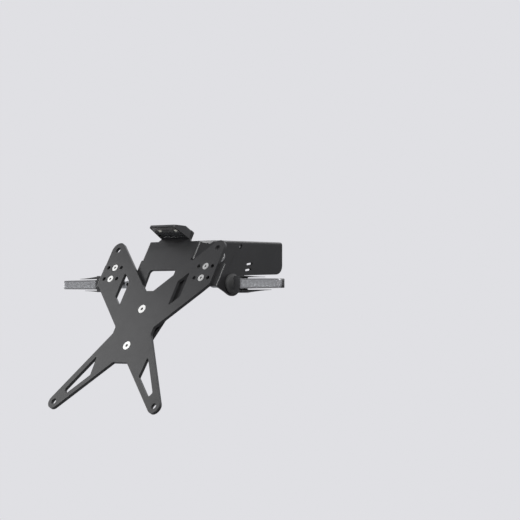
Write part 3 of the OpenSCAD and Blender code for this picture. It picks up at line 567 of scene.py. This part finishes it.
def reflectorTray(sideName, side):
    boardLong = tray["boardTo"] - tray["boardFrom"]
    deselectAll()
    bpy.ops.mesh.primitive_grid_add(
        x_subdivisions=tray["cells"], y_subdivisions=1, size=1, rotation=(math.pi / 2, 0, 0),
        location=((tray["boardFrom"] + boardLong / 2) * mm, tray["rim"] * mm, 0))
    piece = bpy.context.view_layer.objects.active
    piece.scale = (boardLong * mm, 2 * tray["halfHeight"] * mm, 1)
    bakePlace(piece)
    editAll(piece)
    bpy.ops.mesh.select_mode(type="FACE")
    bpy.ops.mesh.select_all(action="SELECT")
    for inward, deep in tray["cup"]:
        bpy.ops.mesh.inset(thickness=inward * mm, depth=-deep * mm, use_individual=True)
    bpy.ops.mesh.delete(type="FACE")
    leaveEdit()
    for boardEnd, trayEnd in ((tray["boardFrom"], tray["from"]), (tray["boardTo"], tray["to"])):
        chooseEdgesAt(piece, boardEnd * mm)
        reach = (trayEnd - boardEnd) * mm
        bpy.ops.mesh.extrude_region_move(TRANSFORM_OT_translate={"value": (reach, 0, 0)})
        leaveEdit()
    addModifier(piece, "SOLIDIFY", thickness=tray["sheet"] * mm, offset=-1)
    addModifier(piece, "BEVEL", width=tray["edge"] * mm, segments=2, limit_method="ANGLE",
                angle_limit=math.radians(tray["sharpFrom"]))
    middle = stemMiddle(sideName)
    turn = Matrix() if side > 0 else Matrix.Rotation(math.pi, 4, "Y")
    piece.matrix_world = Matrix.Translation((side * tray["footX"] * mm, middle.y, middle.z)) @ turn
    finishPiece(piece, sideName + "_indicator_reflector", silver, tray["smoothTo"])


for side, sideName in ((-1, "left"), (1, "right")):
    reflectorTray(sideName, side)
print("indicator trays made")


# camera at the photograph's angle; focal length and frame are in pixels

view = {
    "place": (1.51284, -1.59719, -0.06845),
    "forward": (-0.67528, 0.73723, 0.02208),
    "up": (0.01478, -0.01640, 0.99976),
    "focal": 2001.4,
    "frame": 520.0,
    "sensor": 36.0,
    "near": 0.05,
    "far": 60.0,
}
forward = Vector(view["forward"]).normalized()
sideways = forward.cross(Vector(view["up"])).normalized()
upward = sideways.cross(forward)
turn = Matrix((sideways, upward, -forward)).transposed().to_4x4()
cameraData = bpy.data.cameras.new("photoCamera")
cameraData.sensor_fit = "HORIZONTAL"
cameraData.sensor_width = view["sensor"]
cameraData.lens = view["sensor"] * view["focal"] / view["frame"]
cameraData.clip_start = view["near"]
cameraData.clip_end = view["far"]
camera = bpy.data.objects.new("photoCamera", cameraData)
scene.collection.objects.link(camera)
camera.matrix_world = Matrix.Translation(view["place"]) @ turn
scene.camera = camera


# pale studio: a plain backdrop for the rays that see it, a softer sky for the light

studio = {
    "backdrop": (0.745, 0.745, 0.775),
    "skyColor": (0.97, 0.98, 1.0),
    "sky": 0.26,
    "floorZ": -1.0,
    "floorSize": 40.0,
    "floorColor": (0.74, 0.74, 0.765),
    "floorRough": 0.8,
    "floorFade": (0.1, 1.8),
}
world = bpy.data.worlds.new("studio")
scene.world = world
world.use_nodes = True
world.node_tree.nodes.clear()
rays = addNode(world, "ShaderNodeLightPath")
seen = addNode(world, "ShaderNodeBackground", {"Color": opaque(studio["backdrop"])})
lit = addNode(world, "ShaderNodeBackground", {
    "Color": opaque(studio["skyColor"]), "Strength": studio["sky"]})
straight = mathNode(
    world, "MAXIMUM", rays.outputs["Is Camera Ray"], rays.outputs["Is Transmission Ray"])
either = mathNode(world, "MAXIMUM", straight, rays.outputs["Is Glossy Ray"])
worldOut = addNode(world, "ShaderNodeOutputWorld")
wire(world, mixShaders(world, either, lit, seen), worldOut.inputs["Surface"])

deselectAll()
bpy.ops.mesh.primitive_plane_add(size=studio["floorSize"], location=(0, 0, studio["floorZ"]))
floor = bpy.context.view_layer.objects.active
bakePlace(floor)
floor.name = "studioFloor"
paleFloor, floorShader = newMaterial("paleFloor", studio["floorColor"], studio["floorRough"])
floor.data.materials.append(paleFloor)

# away from the object the camera sees the floor as the backdrop
floorRays = addNode(paleFloor, "ShaderNodeLightPath")
floorGlow = addNode(paleFloor, "ShaderNodeEmission", {"Color": opaque(studio["backdrop"])})
distance = addNode(paleFloor, "ShaderNodeVectorMath")
distance.operation = "LENGTH"
wire(paleFloor, objectPoint(paleFloor), distance.inputs[0])
fade = mapRange(paleFloor, distance.outputs["Value"], (0.0, 1.0), studio["floorFade"])
farAway = mathNode(paleFloor, "MULTIPLY", fade, floorRays.outputs["Is Camera Ray"])
showSurface(paleFloor, mixShaders(paleFloor, farAway, floorShader, floorGlow))


# softboxes, each at a distance from the point it lights, out along its way

softboxes = [
    {"name": "keyLeft", "aim": (-0.09, -0.19, -0.18), "way": (-0.675, -0.349, 0.649),
     "distance": 0.5, "size": 0.3, "power": 0.7},
    {"name": "foldLight", "aim": (0.06, -0.1, -0.03), "way": (0.627, -0.39, 0.673),
     "distance": 1.2, "size": 0.16, "power": 9.0},
    {"name": "rightFront", "aim": (0.04, -0.06, -0.02), "way": (0.675, 0.737, 0.022),
     "distance": 0.2, "size": 0.1, "power": 0.003},
    {"name": "topBack", "aim": (0, -0.05, -0.03), "way": (-0.1, 0.9, 0.8),
     "distance": 1.8, "size": 0.9, "power": 6},
    {"name": "farSide", "aim": (0, -0.05, -0.05), "way": (-0.85, 0.5, 0.2),
     "distance": 1.8, "size": 1.0, "power": 8},
]
for box in softboxes:
    light = bpy.data.lights.new(box["name"], "AREA")
    light.shape = "SQUARE"
    light.size = box["size"]
    light.energy = box["power"]
    holder = bpy.data.objects.new(box["name"], light)
    scene.collection.objects.link(holder)
    holder.visible_camera = False
    way = Vector(box["way"]).normalized()
    holder.location = Vector(box["aim"]) + way * box["distance"]
    holder.rotation_mode = "QUATERNION"
    holder.rotation_quaternion = way.to_track_quat("Z", "Y")
scene.view_settings.view_transform = "Standard"
print("camera, floor and light set")

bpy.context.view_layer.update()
deselectAll()
